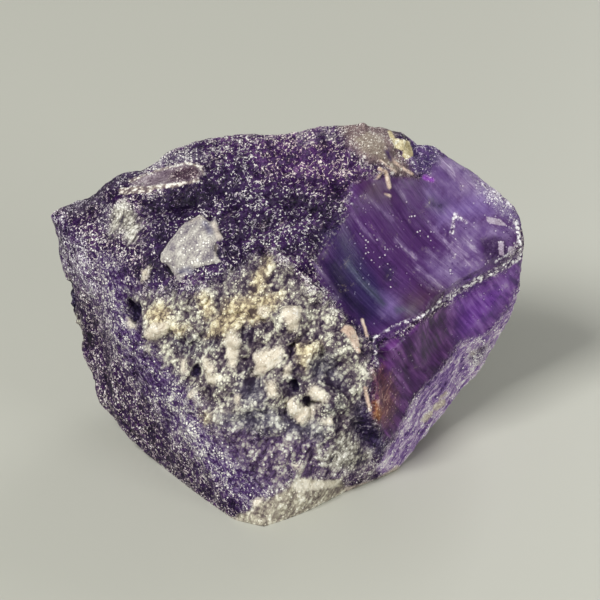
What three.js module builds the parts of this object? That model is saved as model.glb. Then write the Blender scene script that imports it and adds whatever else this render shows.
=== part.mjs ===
// A rough amethyst: one solid lump of quartz, broken off on every side and lying on a flat break.
// X runs across its broad front, Y runs away from the viewer and Z is up, all in millimetres.
// The origin is on the ground, under the middle of the box that the lump fills.
import * as THREE from "three";
import { ConvexHull } from "three/addons/math/ConvexHull.js";
import { ImprovedNoise } from "three/addons/math/ImprovedNoise.js";

// Driving dimensions: the box that the lump fills.
const WIDTH = 40.5;
const DEPTH = 29;
const HEIGHT = 26.5;

// How finely the surface is divided: the longest edge of a triangle on the broad front, on the
// plainer sides and back, and on the flat break underneath.
const FRONT_EDGE = 1.3;
const BACK_EDGE = 1.7;
const BASE_EDGE = 5;
const FRONT_ENDS = 8;
const BACK_BEGINS = 11;

// How often the edges are turned and the points evened out, the most that a turn may tilt a
// triangle, and how far past a straight line the two corners that face an edge must be to turn it.
const EVENING_ROUNDS = 6;
const MOST_TILT = THREE.MathUtils.degToRad(45);
const CLEARLY_BLUNT = Math.PI + 0.01;

// A point below this height lies on the flat break underneath. Roughness fades in above it.
const GROUND = 1e-6;
const ROUGH_FROM = -0.6;
const ROUGH_BY = 3;

// Two flat breaks that meet at more than this angle keep a sharp ridge between them, apart from
// the lists of corners below whose edges are worn round.
const RIDGE_ANGLE = THREE.MathUtils.degToRad(20);
const WORN = ["leftRidge", "brow", "front"];

// The corners of the lump, by the edge or face that they lie on. Each is [X, Y, Z], before the
// lump is brought to its driving dimensions.
const CORNERS = {
  // The skyline, from the left tip over the peak to the right tip.
  crest: [
    [-20.3, 8, 17.4],
    [-17.9, 8.7, 18.8],
    [-15.6, 9.2, 20.3],
    [-13.9, 9.8, 21.5],
    [-11.9, 10, 22.5],
    [-7.4, 10.5, 23.2],
    [-4, 10.3, 24.4],
    [1.1, 9.6, 25],
    [6.3, 8.2, 26.5],
    [8.6, 7.6, 25.2],
    [9.6, 9.6, 24.4],
    [12.3, 9.8, 23.4],
    [15.2, 9, 21.6],
    [17.3, 8.5, 20.1],
    [19.7, 7.3, 18.3],
    [20.1, 5.5, 16.4],
  ],
  // The right side, down from the tip to the foot.
  rightSide: [
    [20.2, 6, 13.1],
    [19.1, 7, 7.9],
    [17.6, 6.5, 4.6],
    [14.9, 3.5, 2.4],
    [12.4, 0, 1.4],
  ],
  // The front rim of the flat break that the lump lies on, from right to left.
  foot: [
    [9.2, -4.6, 0],
    [6.6, -6.7, 0],
    [4.5, -8.1, 0],
    [1.1, -11.3, 0],
    [-2.1, -13, 0],
    [-4.6, -12, 0],
    [-7.3, -8.9, 0],
    [-10.8, -4.2, 0],
  ],
  // The left side, up from the foot to the tip.
  leftSide: [
    [-14.3, -1.2, 1.3],
    [-16.5, 0.8, 3.1],
    [-17.7, 3.5, 5.5],
    [-18.9, 6, 9],
    [-19.7, 7.5, 13.2],
  ],
  // The ridge between the narrow left face and the broad front.
  leftRidge: [
    [-17.9, 4, 15.8],
    [-16.2, 1.5, 14.6],
    [-13.9, -2, 12.6],
    [-11.2, -5, 9.6],
    [-8.9, -7.3, 6.8],
    [-6.9, -9.8, 3.8],
  ],
  // The blunt brow between the sloping top and the front.
  brow: [
    [-11.6, 1.5, 18.4],
    [-5.2, 1.5, 20.4],
    [-3.1, -1.3, 18.4],
    [2.7, -1.5, 19],
    [4.9, 2.5, 23.3],
    [9.7, 5.5, 23.2],
  ],
  // The rim below the glassy shell of the right half, and the keel that drops from it.
  shellRim: [
    [7.2, -5.2, 12.1],
    [10, -3.8, 13.6],
    [12.9, -2, 15],
    [16.5, 0.8, 15.9],
  ],
  keel: [
    [7.5, -7, 8.2],
    [8.3, -6, 3.6],
  ],
  // The edge between the lower right face and the rough strip under it.
  lowerRight: [
    [18.1, 5.5, 7.9],
    [14.6, 2.5, 7.7],
    [12.1, -0.8, 6.2],
    [10, -3.5, 5],
  ],
  front: [
    [-3.1, -6.5, 12.9],
    [1.1, -10, 6.1],
    [4.5, -4, 15.3],
  ],
  // The ledge below the skyline on the far side.
  backLedge: [
    [-15.2, 11.4, 17.4],
    [-9.2, 13.4, 19],
    [-2.6, 12.3, 21.2],
    [4.4, 13.4, 20.2],
    [11.2, 11.9, 19.4],
    [16.6, 11.4, 16.2],
  ],
  // The far side's furthest ridge, from left to right.
  backRidge: [
    [-18.6, 10.4, 11.6],
    [-13.6, 13.2, 11.2],
    [-7.8, 15.6, 15.4],
    [-1.2, 16.4, 12.4],
    [5.6, 15.8, 15],
    [12.2, 13.2, 11.4],
    [17.9, 10.4, 10.8],
  ],
  // The far side's foot, above the rim that it lies on.
  backFoot: [
    [-15.4, 8.2, 5.1],
    [-10.1, 12.4, 4.2],
    [-3.6, 14.2, 5.6],
    [3.4, 14.4, 4.1],
    [9.8, 12.6, 5.2],
    [15.2, 9.4, 4.4],
  ],
  base: [
    [-12.2, 1.2, 0],
    [-10.8, 7.4, 0],
    [-5.6, 11.6, 0],
    [1.4, 12.6, 0],
    [7.6, 10.6, 0],
    [11.6, 6.2, 0],
    [10.9, 0.4, 0],
    [-4, 2, 0],
    [4, 3, 0],
  ],
};

// The point inside the lump from which every corner can be seen.
const HEART = new THREE.Vector3(0, 1, 12);

// Shell-shaped hollows, each the bite of a ball: its middle on the unbroken surface, the way it
// faces, its width, its depth, and the point that its ripples spread from. One that is longer than
// it is wide has its length and the way it runs.
const SCOOPS = [
  // The glassy shell of the right half, its deep lower left end and the small shell by the tip.
  { at: [12.4, 2.6, 19.4], facing: [0.4, -0.62, 0.68], across: 15, deep: 1.6, blow: [19, 9, 23] },
  { at: [6, -2, 16.6], facing: [0.25, -0.72, 0.62], across: 7.5, deep: 1.3, blow: [19, 9, 23],
    length: 14, along: [0.55, -0.4, -0.75] },
  { at: [17.2, 3.2, 17.4], facing: [0.55, -0.55, 0.63], across: 5.6, deep: 0.6, blow: [13, 4, 20] },
  // The lower right face, the sloping top and the narrow left face.
  { at: [13, -0.4, 9.6], facing: [0.78, -0.62, 0.05], across: 9, deep: 0.7, blow: [16.5, 0.8, 16] },
  { at: [-2, 4.6, 22.2], facing: [-0.15, -0.5, 0.85], across: 9, deep: 0.7, blow: [4, 8, 26],
    length: 16, along: [1, 0, 0.25] },
  { at: [-16.2, 1.2, 9.6], facing: [-0.86, -0.51, 0], across: 9, deep: 0.5, blow: [-18, 4, 15] },
  // The far side.
  { at: [9.6, 14.2, 11], facing: [0.4, 0.88, -0.05], across: 14, deep: 2.4, blow: [4, 15, 17] },
  { at: [-9.4, 13.8, 8.4], facing: [-0.3, 0.92, -0.25], across: 12, deep: 2, blow: [-8, 14.6, 14] },
  { at: [-12, 12.8, 15.8], facing: [-0.45, 0.8, 0.35], across: 9, deep: 1.4, blow: [-7, 12, 21] },
  { at: [1, 12.4, 22], facing: [0, 0.7, 0.7], across: 9, deep: 1.1, blow: [5, 10, 25] },
  { at: [9.6, 12.8, 18.6], facing: [0.2, 0.85, 0.5], across: 7, deep: 0.9, blow: [12, 11, 22] },
  { at: [17.6, 10.2, 14.4], facing: [0.8, 0.6, 0.1], across: 8, deep: 0.8, blow: [19, 8, 18] },
];
const RIPPLE_SPACING = 2.8;
const RIPPLE_HEIGHT = 0.18;

// Small flat breaks, each pressed back to a plane: its middle, the way it faces and its width.
const FLATS = [
  { at: [-7.7, 0.2, 18.3], facing: [-0.3, -0.62, 0.72], across: 5.6 },
  { at: [-11.6, 7.2, 21], facing: [-0.16, -0.3, 0.94], across: 6.4 },
  { at: [-14, 4.2, 18.3], facing: [-0.45, -0.4, 0.8], across: 4.4 },
  { at: [18.9, 4.4, 13.6], facing: [0.86, -0.5, 0.1], across: 5 },
  { at: [-13.2, 9.9, 20.2], facing: [-0.2, 0.2, 0.96], across: 3.4 },
  { at: [3.2, -9.4, 6.6], facing: [0.35, -0.86, 0.36], across: 4.6 },
  { at: [-1.6, 15.2, 12.6], facing: [0.1, 0.99, 0.05], across: 6 },
  { at: [14.2, 10.8, 18.8], facing: [0.4, 0.7, 0.6], across: 6 },
  { at: [5, 13.6, 4.8], facing: [0.1, 0.9, -0.45], across: 7 },
  { at: [-16.4, 10.6, 9.4], facing: [-0.75, 0.65, -0.1], across: 6 },
];

// Lumps, and pits where high is less than zero. One that has a second point is a bar or a slot.
const SWELLINGS = [
  // The crumbly knob at the peak, its tongue down the slope and the notch behind it.
  { from: [5.4, 6.4, 25.2], to: [8, 6.8, 24.8], across: 3.4, high: 0.6 },
  { from: [9, 8, 24.2], to: [9.8, 6.9, 23.4], across: 2.2, high: 0.7 },
  { from: [4.6, 4.3, 23.8], to: [9.6, 5.4, 23.2], across: 2, high: 0.45 },
  { from: [10.6, 9.4, 24.2], to: [10.6, 7.4, 23.6], across: 2, high: -0.5 },
  // The lens-shaped ledge at the top left and the shadow under it.
  { from: [-15.4, 5.8, 19.4], to: [-8.2, 6.6, 21.5], across: 3, high: 0.6 },
  { from: [-12.8, 4.7, 18.9], to: [-8.6, 4.9, 20.6], across: 2.4, high: -0.5 },
  { from: [-13.6, 9.4, 20.4], to: [-9, 9.2, 21.8], across: 2.6, high: 0.35 },
  // The step round the pale chip on the brow.
  { from: [-4.6, 1, 19.9], to: [-5, -1.6, 18], across: 2.2, high: -0.7 },
  { from: [-10.6, 0.2, 17], to: [-6, -2.2, 16.8], across: 2, high: -0.6 },
  { from: [-8.9, -1.9, 15], to: [-8.4, -1, 16.9], across: 1.6, high: 0.4 },
  // The pale lumps of the front.
  { from: [0.5, -4.8, 14.8], across: 2.8, high: 0.6 },
  { from: [-6, -5.4, 12.7], across: 2.6, high: 0.6 },
  { from: [-1, -6.5, 12.5], across: 3, high: 0.65 },
  { from: [-1.4, -8.2, 9.6], across: 2.8, high: 0.55 },
  { from: [2.6, -7.4, 9.9], to: [3.4, -7.6, 9.2], across: 2.4, high: 0.7 },
  { from: [3.4, -8.8, 7.1], across: 2.4, high: 0.5 },
  { from: [-6.4, -3.4, 15.4], to: [4.6, -2.7, 16.8], across: 2.6, high: 0.5 },
  { from: [-12, -2.6, 13], to: [-8, -3.8, 13.4], across: 2.4, high: 0.5 },
  { from: [4.6, -5, 13.4], to: [6, -5.6, 11.4], across: 1.8, high: 0.6 },
  { from: [7.2, -6.2, 11], to: [7.2, -7.2, 6.6], across: 1.8, high: 0.4 },
  { from: [-2.4, -12.2, 1.3], across: 2, high: 0.5 },
  { from: [1.4, -11, 1.4], to: [7, -6.6, 1.6], across: 2.6, high: 0.5 },
  // The dark gaps between them.
  { from: [1.7, -8.3, 8.7], across: 2, high: -1 },
  { from: [-13.6, -0.9, 13.8], to: [-12.6, -2.2, 12.8], across: 1.8, high: -0.9 },
  { from: [-7.6, -5.9, 10.6], to: [-7, -5, 12], across: 1.8, high: -0.9 },
  { from: [-3.6, -6.4, 12], to: [-2.8, -7.6, 10], across: 1.8, high: -0.7 },
  { from: [-9.8, -3.4, 13], to: [-8.2, -4.6, 12.4], across: 1.8, high: -0.6 },
  { from: [2.6, -6.2, 12], to: [3.6, -6.6, 10.6], across: 2, high: -0.7 },
  { from: [5.8, -7.8, 6.4], to: [6.6, -7.4, 4.6], across: 2.2, high: -0.8 },
  // The notch in the left edge.
  { from: [-18.6, 4.8, 9.4], to: [-18.2, 5.2, 7.2], across: 2, high: -0.8 },
  // The step across the far side, the ledges on it and the hollow under it.
  { from: [-13, 12.8, 17.2], to: [-3, 14.6, 17.6], across: 3, high: 0.7 },
  { from: [-4, 14.6, 16.4], to: [3, 14.8, 18.2], across: 2.4, high: -0.6 },
  { from: [2, 14.8, 6.6], to: [12, 13, 7.4], across: 3, high: 0.7 },
  { from: [-6, 14.4, 10], to: [2, 15.4, 9], across: 3, high: -0.8 },
  { from: [-16, 10.8, 8.2], to: [-14.6, 12, 11], across: 3.4, high: 0.4 },
];

// The three kinds of ground: how high its lumps stand and how far apart they are. The crust and
// the glass each lie round a middle and fade into the frosted ground at their reach.
const FROSTED = { rise: 0.42, spacing: 4.2 };
const CRUSTY = { rise: 0.6, spacing: 3.2, at: new THREE.Vector3(-2, -6, 12.4), reach: 10.5 };
const GLASSY = { rise: 0.05, spacing: 6, at: new THREE.Vector3(11.4, 0.8, 18.4), reach: 9.6 };

// How far chips along the ridges go in, and how far apart they are.
const CHIPS = { rise: 0.6, spacing: 3 };

const noise = new ImprovedNoise();
const unit = (direction) => new THREE.Vector3(...direction).normalize();

// Joins each corner to its neighbours, so that the corners become flat breaks with ridges between.
function roughBlock() {
  const points = Object.values(CORNERS).flat().map((corner) => new THREE.Vector3(...corner));
  const lists = Object.entries(CORNERS).flatMap(([name, corners]) => corners.map(() => name));
  const directions = points.map((point) => point.clone().sub(HEART).normalize());
  const hull = new ConvexHull().setFromPoints(directions);
  const triangles = hull.faces.map((face) => {
    const corners = [];
    let edge = face.edge;
    do {
      corners.push(directions.indexOf(edge.head().point));
      edge = edge.next;
    } while (edge !== face.edge);
    return corners;
  });
  return { points, triangles, lists, ridges: new Set() };
}

const edgeKey = (a, b) => (a < b ? `${a},${b}` : `${b},${a}`);
const edgesOf = ([a, b, c]) => [[a, b, c], [b, c, a], [c, a, b]];

function normalOf(points, [a, b, c]) {
  return new THREE.Triangle(points[a], points[b], points[c]).getNormal(new THREE.Vector3());
}

// The two triangles on each edge: the index of each and the corner that faces the edge.
function sidesOf(triangles) {
  const sides = new Map();
  triangles.forEach((triangle, index) => {
    for (const [a, b, facing] of edgesOf(triangle)) {
      const key = edgeKey(a, b);
      sides.set(key, [...(sides.get(key) ?? []), { index, facing }]);
    }
  });
  return sides;
}

const onGround = (point) => point.z < GROUND;

// Marks the edges between breaks that meet sharply, and the rim of the flat break underneath.
function markRidges({ points, triangles, lists, ridges }) {
  const normals = triangles.map((triangle) => normalOf(points, triangle));
  const flat = triangles.map((triangle) => triangle.every((corner) => onGround(points[corner])));
  for (const [key, [one, other]] of sidesOf(triangles)) {
    const worn = key.split(",").every((corner) => WORN.includes(lists[corner]));
    const sharp = !worn && normals[one.index].angleTo(normals[other.index]) > RIDGE_ANGLE;
    if (sharp || flat[one.index] !== flat[other.index]) ridges.add(key);
  }
}

// How long an edge is for its place. The front is divided most finely, the sides and back less,
// and the flat break hardly at all inside its rim.
function sizeOf({ points, ridges }, a, b) {
  const middle = points[a].clone().lerp(points[b], 0.5);
  const behind = THREE.MathUtils.smoothstep(middle.y, FRONT_ENDS, BACK_BEGINS);
  const inRim = onGround(middle) && !ridges.has(edgeKey(a, b));
  const limit = inRim ? BASE_EDGE : THREE.MathUtils.lerp(FRONT_EDGE, BACK_EDGE, behind);
  return points[a].distanceTo(points[b]) / limit;
}

// Halves the longest edge of each triangle that is too big for its place, until none is.
function splitLongEdges(stone) {
  const { points, ridges } = stone;
  let middles;
  do {
    const votes = new Map();
    const longest = stone.triangles.map((triangle) => {
      const edges = edgesOf(triangle).map(([a, b, facing]) => {
        return { a, b, facing, key: edgeKey(a, b), size: sizeOf(stone, a, b) };
      });
      const edge = edges.reduce((best, next) => (next.size > best.size ? next : best));
      votes.set(edge.key, (votes.get(edge.key) ?? 0) + 1);
      return edge;
    });
    middles = new Map();
    for (const { a, b, key, size } of longest) {
      if (size <= 1 || votes.get(key) < 2 || middles.has(key)) continue;
      const middle = points.push(points[a].clone().lerp(points[b], 0.5)) - 1;
      middles.set(key, middle);
      if (ridges.delete(key)) ridges.add(edgeKey(a, middle)).add(edgeKey(middle, b));
    }
    stone.triangles = longest.flatMap(({ a, b, facing, key }) => {
      const middle = middles.get(key);
      return middle === undefined ? [[a, b, facing]] : [[a, middle, facing], [middle, b, facing]];
    });
  } while (middles.size > 0);
}

// Turns an edge between two triangles where that makes both rounder. A ridge is never turned.
function turnEdges(stone) {
  const { points, ridges } = stone;
  const angleAt = (corner, a, b) => {
    const toA = points[a].clone().sub(points[corner]);
    return toA.angleTo(points[b].clone().sub(points[corner]));
  };
  const sides = sidesOf(stone.triangles);
  const changed = new Set();
  const made = new Set();
  for (const [key, [one, other]] of sides) {
    const [a, b] = key.split(",").map(Number);
    const across = edgeKey(one.facing, other.facing);
    const taken = changed.has(one.index) || changed.has(other.index) || made.has(across);
    if (taken || ridges.has(key) || sides.has(across)) continue;
    if (angleAt(one.facing, a, b) + angleAt(other.facing, a, b) < CLEARLY_BLUNT) continue;
    const old = stone.triangles[one.index];
    const [start, end] = edgesOf(old).find((edge) => edge[2] === one.facing);
    const turned = [
      [start, other.facing, one.facing],
      [other.facing, end, one.facing],
    ];
    const faced = normalOf(points, old);
    if (turned.some((triangle) => normalOf(points, triangle).angleTo(faced) > MOST_TILT)) continue;
    [stone.triangles[one.index], stone.triangles[other.index]] = turned;
    changed.add(one.index).add(other.index);
    made.add(across);
  }
}

// Draws each point halfway to the middle of its neighbours. A point on a ridge moves only along
// the ridge, and one where ridges meet stays.
function relax(stone) {
  const around = stone.points.map(() => new Set());
  for (const triangle of stone.triangles) {
    for (const [a, b] of edgesOf(triangle)) {
      around[a].add(b);
      around[b].add(a);
    }
  }
  stone.points = stone.points.map((point, index) => {
    const all = [...around[index]];
    const along = all.filter((other) => stone.ridges.has(edgeKey(index, other)));
    if (along.length !== 0 && along.length !== 2) return point;
    const drawn = along.length === 2 ? along : all;
    const middle = new THREE.Vector3();
    for (const other of drawn) middle.addScaledVector(stone.points[other], 1 / drawn.length);
    return point.clone().lerp(middle, 0.5);
  });
}

// Bites a shell-shaped hollow: a point inside the ball that faces the same way sinks straight in,
// to the ball's rippled surface. A long hollow is squeezed to a round one to find how far that is.
function scoop(point, out, { at, facing, across, deep, blow, length = across, along = facing }) {
  const radius = (across * across / 4 + deep * deep) / (2 * deep);
  const away = unit(facing);
  const run = unit(along);
  const squeeze = (arm) => arm.addScaledVector(run, arm.dot(run) * (across / length - 1));
  const middle = new THREE.Vector3(...at).addScaledVector(away, radius - deep);
  const arm = squeeze(point.clone().sub(middle));
  const way = squeeze(away.clone());
  const inside = radius * radius - arm.lengthSq();
  if (inside <= 0 || out.dot(away) <= 0) return;
  const level = arm.dot(way);
  const sunk = (level + Math.sqrt(level * level + way.lengthSq() * inside)) / way.lengthSq();
  const fromBlow = point.distanceTo(new THREE.Vector3(...blow));
  const ripple = RIPPLE_HEIGHT * Math.sin(2 * Math.PI * fromBlow / RIPPLE_SPACING);
  point.addScaledVector(away, ripple - sunk);
}

function flatten(point, { at, facing, across }) {
  const out = unit(facing);
  const arm = point.clone().sub(new THREE.Vector3(...at));
  const proud = arm.dot(out);
  if (proud > 0 && arm.length() < across / 2) point.addScaledVector(out, -proud);
}

function swelling(point, { from, to = from, across, high }) {
  const bar = new THREE.Line3(new THREE.Vector3(...from), new THREE.Vector3(...to));
  const nearest = from === to ? bar.start : bar.closestPointToPoint(point, true, new THREE.Vector3());
  return high * (1 - THREE.MathUtils.smoothstep(point.distanceTo(nearest), 0, across / 2));
}

// How much of a kind of ground there is at a point, from 0 to 1.
function share({ at, reach }, point) {
  return 1 - THREE.MathUtils.smoothstep(point.distanceTo(at), 0.75 * reach, 1.1 * reach);
}

// Uneven ground, from about -1 to 1: lumps of two sizes laid over each other.
function uneven(point, spacing) {
  return [1, 2].reduce((height, finer) => {
    const { x, y, z } = point.clone().multiplyScalar(finer / spacing);
    return height + noise.noise(x, y, z) / finer;
  }, 0);
}

// Crumbly ground, from about -1 to 1: round lumps with sharp gaps between.
function crumbly(point, spacing) {
  return 3 * Math.abs(uneven(point, spacing)) - 0.8;
}

// How far the surface stands out at a point.
function relief(point, onRidge) {
  const glass = share(GLASSY, point);
  const crust = share(CRUSTY, point) * (1 - glass);
  const frosted = FROSTED.rise * uneven(point, FROSTED.spacing) * (1 - glass) * (1 - crust);
  const crusty = CRUSTY.rise * crumbly(point, CRUSTY.spacing) * crust;
  const glassy = GLASSY.rise * uneven(point, GLASSY.spacing) * glass;
  const chip = onRidge ? CHIPS.rise * Math.abs(uneven(point, CHIPS.spacing)) : 0;
  const placed = SWELLINGS.reduce((height, mark) => height + swelling(point, mark), 0);
  return frosted + crusty + glassy + placed - chip;
}

function outwardsOf(stone) {
  const normals = geometryOf(stone).getAttribute("normal");
  return stone.points.map((_, index) => new THREE.Vector3().fromBufferAttribute(normals, index));
}

// Breaks the hollows and the small flats out of the block, above the flat break underneath.
function carve(stone) {
  const outwards = outwardsOf(stone);
  stone.points.forEach((point, index) => {
    if (onGround(point)) return;
    for (const hollow of SCOOPS) scoop(point, outwards[index], hollow);
    for (const flat of FLATS) flatten(point, flat);
  });
}

// Roughens and chips the surface. Near the ground it only moves sideways, and hardly at all.
function roughen(stone) {
  const outwards = outwardsOf(stone);
  const ridgePoints = new Set([...stone.ridges].flatMap((key) => key.split(",").map(Number)));
  stone.points.forEach((point, index) => {
    const lift = THREE.MathUtils.smoothstep(point.z, ROUGH_FROM, ROUGH_BY);
    const out = outwards[index];
    out.z *= onGround(point) ? 0 : lift;
    point.addScaledVector(out, lift * relief(point, ridgePoints.has(index)));
  });
}

function geometryOf(stone) {
  const geometry = new THREE.BufferGeometry().setFromPoints(stone.points);
  geometry.setIndex(stone.triangles.flat());
  geometry.computeVertexNormals();
  return geometry;
}

// Brings the lump to its driving dimensions, on the ground and with its box centred over the origin.
function fitToBox(geometry) {
  geometry.computeBoundingBox();
  const { min, max } = geometry.boundingBox;
  const size = new THREE.Vector3().subVectors(max, min);
  geometry.translate(-(min.x + max.x) / 2, -(min.y + max.y) / 2, -min.z);
  geometry.scale(WIDTH / size.x, DEPTH / size.y, HEIGHT / size.z);
  return geometry;
}

const stone = roughBlock();
markRidges(stone);
splitLongEdges(stone);
for (let round = 0; round < EVENING_ROUNDS; round++) {
  turnEdges(stone);
  relax(stone);
}
carve(stone);
relax(stone);
turnEdges(stone);
relax(stone);
roughen(stone);

const amethyst = new THREE.Mesh(
  fitToBox(geometryOf(stone)),
  new THREE.MeshStandardMaterial({ color: 0x3d2a55, roughness: 0.55, metalness: 0 }),
);
amethyst.name = "amethyst";

const part = new THREE.Group();
part.add(amethyst);
export default part;
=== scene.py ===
"""The looks of a rough amethyst: one broken lump of purple quartz, frosted, glassy and crusted.

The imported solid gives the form. A finer copy of it stands in its place, with the grain and crumbs
of each kind of surface raised on it, and one material whose finishes lie where each one shows.
"""

import math

import bpy
import numpy as np
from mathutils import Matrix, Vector


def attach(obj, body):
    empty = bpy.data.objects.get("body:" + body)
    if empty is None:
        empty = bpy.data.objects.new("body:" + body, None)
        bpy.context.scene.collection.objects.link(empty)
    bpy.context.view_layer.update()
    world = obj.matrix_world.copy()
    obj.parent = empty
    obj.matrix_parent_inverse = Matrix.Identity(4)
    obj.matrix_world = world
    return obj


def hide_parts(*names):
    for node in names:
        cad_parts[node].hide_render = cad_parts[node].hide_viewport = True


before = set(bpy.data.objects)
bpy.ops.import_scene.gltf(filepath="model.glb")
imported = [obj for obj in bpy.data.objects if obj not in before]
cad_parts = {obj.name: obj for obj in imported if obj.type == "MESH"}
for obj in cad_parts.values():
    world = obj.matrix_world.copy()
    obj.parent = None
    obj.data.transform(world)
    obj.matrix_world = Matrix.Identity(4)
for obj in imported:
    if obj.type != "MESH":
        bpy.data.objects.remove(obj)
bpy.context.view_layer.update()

MM = 0.001

# The camera. Its picture is 600 by 600 pixels, and its lens is reckoned for a sensor 36 mm wide.
PICTURE = 600
LOOKS_AT = Vector((1.1, -1.0, 13.8)) * MM
DISTANCE = 330 * MM
PICTURE_WIDTH = 50.5 * MM  # what the picture spans where the stone stands
SENSOR = 36
MM_PER_PIXEL = PICTURE_WIDTH / MM / PICTURE

# The frames that the finishes are placed in: the camera's own, and what the same camera shows from
# behind and from the sides. Each is how far it is turned round the stone and raised, in degrees.
VIEWS = {"front": (0, 32), "behind": (180, 15), "right": (90, 15), "left": (270, 15)}
WRAPS = 1.5  # millimetres that a finish goes on where the stone turns away behind its outline


def backward_of(view):
    """The way from the stone to the camera of a view."""
    turned, raised = (math.radians(angle) for angle in VIEWS[view])
    level = Vector((math.sin(turned), -math.cos(turned), 0))
    return level * math.cos(raised) + Vector((0, 0, math.sin(raised)))


def upright_of(backward):
    """The camera's right and up, from the way that it looks back."""
    right = Vector((-backward.y, backward.x, 0)).normalized()
    return right, backward.cross(right)


BACKWARD = backward_of("front")
EYE = LOOKS_AT + BACKWARD * DISTANCE

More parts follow.
